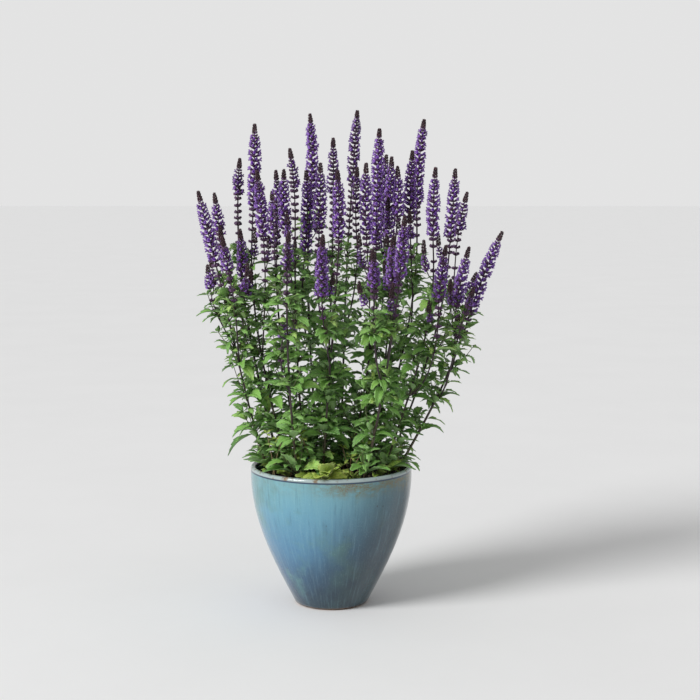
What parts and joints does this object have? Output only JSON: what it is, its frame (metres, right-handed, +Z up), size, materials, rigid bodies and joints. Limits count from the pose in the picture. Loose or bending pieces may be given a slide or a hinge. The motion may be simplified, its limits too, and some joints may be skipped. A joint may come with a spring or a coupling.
{
  "type": "potted perennial salvia",
  "caption": "Upright clump of leafy square stems that end in long violet flower spikes, rooted in a round, tapered, glazed stoneware pot.",
  "frame": {"origin": "middle of the pot's flat base, where it stands", "axes": "+Z up, -Y towards the front that was pictured, +X to the right seen from there"},
  "size_m": [0.5209, 0.4108, 0.8778],
  "materials": {
    "glazed_stoneware": "glossy blue-green reactive glaze, breaking to tan at the rim",
    "compost": "dark, damp, crumbly",
    "leafy_stem": "matt, finely wrinkled green leaves on dark purple stems",
    "flower_spike": "soft matt violet florets in dark purple calyces"
  },
  "bodies": {
    "root": {"pot": "glazed_stoneware", "compost": "compost", "leafy_stem_01": "leafy_stem", "leafy_stem_02": "leafy_stem", "leafy_stem_03": "leafy_stem", "leafy_stem_04": "leafy_stem", "leafy_stem_05": "leafy_stem", "leafy_stem_06": "leafy_stem", "leafy_stem_07": "leafy_stem", "leafy_stem_08": "leafy_stem", "leafy_stem_09": "leafy_stem", "leafy_stem_10": "leafy_stem", "leafy_stem_11": "leafy_stem", "leafy_stem_12": "leafy_stem", "leafy_stem_13": "leafy_stem", "leafy_stem_14": "leafy_stem", "leafy_stem_15": "leafy_stem", "leafy_stem_16": "leafy_stem", "leafy_stem_17": "leafy_stem", "leafy_stem_18": "leafy_stem", "flower_spike_01": "flower_spike", "flower_spike_02": "flower_spike", "flower_spike_03": "flower_spike", "flower_spike_04": "flower_spike", "flower_spike_05": "flower_spike", "flower_spike_06": "flower_spike", "flower_spike_07": "flower_spike", "flower_spike_08": "flower_spike", "flower_spike_09": "flower_spike", "flower_spike_10": "flower_spike", "flower_spike_11": "flower_spike", "flower_spike_12": "flower_spike", "flower_spike_13": "flower_spike", "flower_spike_14": "flower_spike", "flower_spike_15": "flower_spike", "flower_spike_16": "flower_spike", "flower_spike_17": "flower_spike", "flower_spike_18": "flower_spike", "flower_spike_19": "flower_spike", "flower_spike_20": "flower_spike", "flower_spike_21": "flower_spike", "flower_spike_22": "flower_spike", "flower_spike_23": "flower_spike", "flower_spike_24": "flower_spike", "flower_spike_25": "flower_spike", "flower_spike_26": "flower_spike", "flower_spike_27": "flower_spike", "flower_spike_28": "flower_spike", "flower_spike_29": "flower_spike", "flower_spike_30": "flower_spike", "flower_spike_31": "flower_spike", "flower_spike_32": "flower_spike", "flower_spike_33": "flower_spike", "flower_spike_34": "flower_spike", "flower_spike_35": "flower_spike", "flower_spike_36": "flower_spike", "flower_spike_37": "flower_spike", "flower_spike_38": "flower_spike", "flower_spike_39": "flower_spike", "flower_spike_40": "flower_spike"}
  },
  "joints": []
}
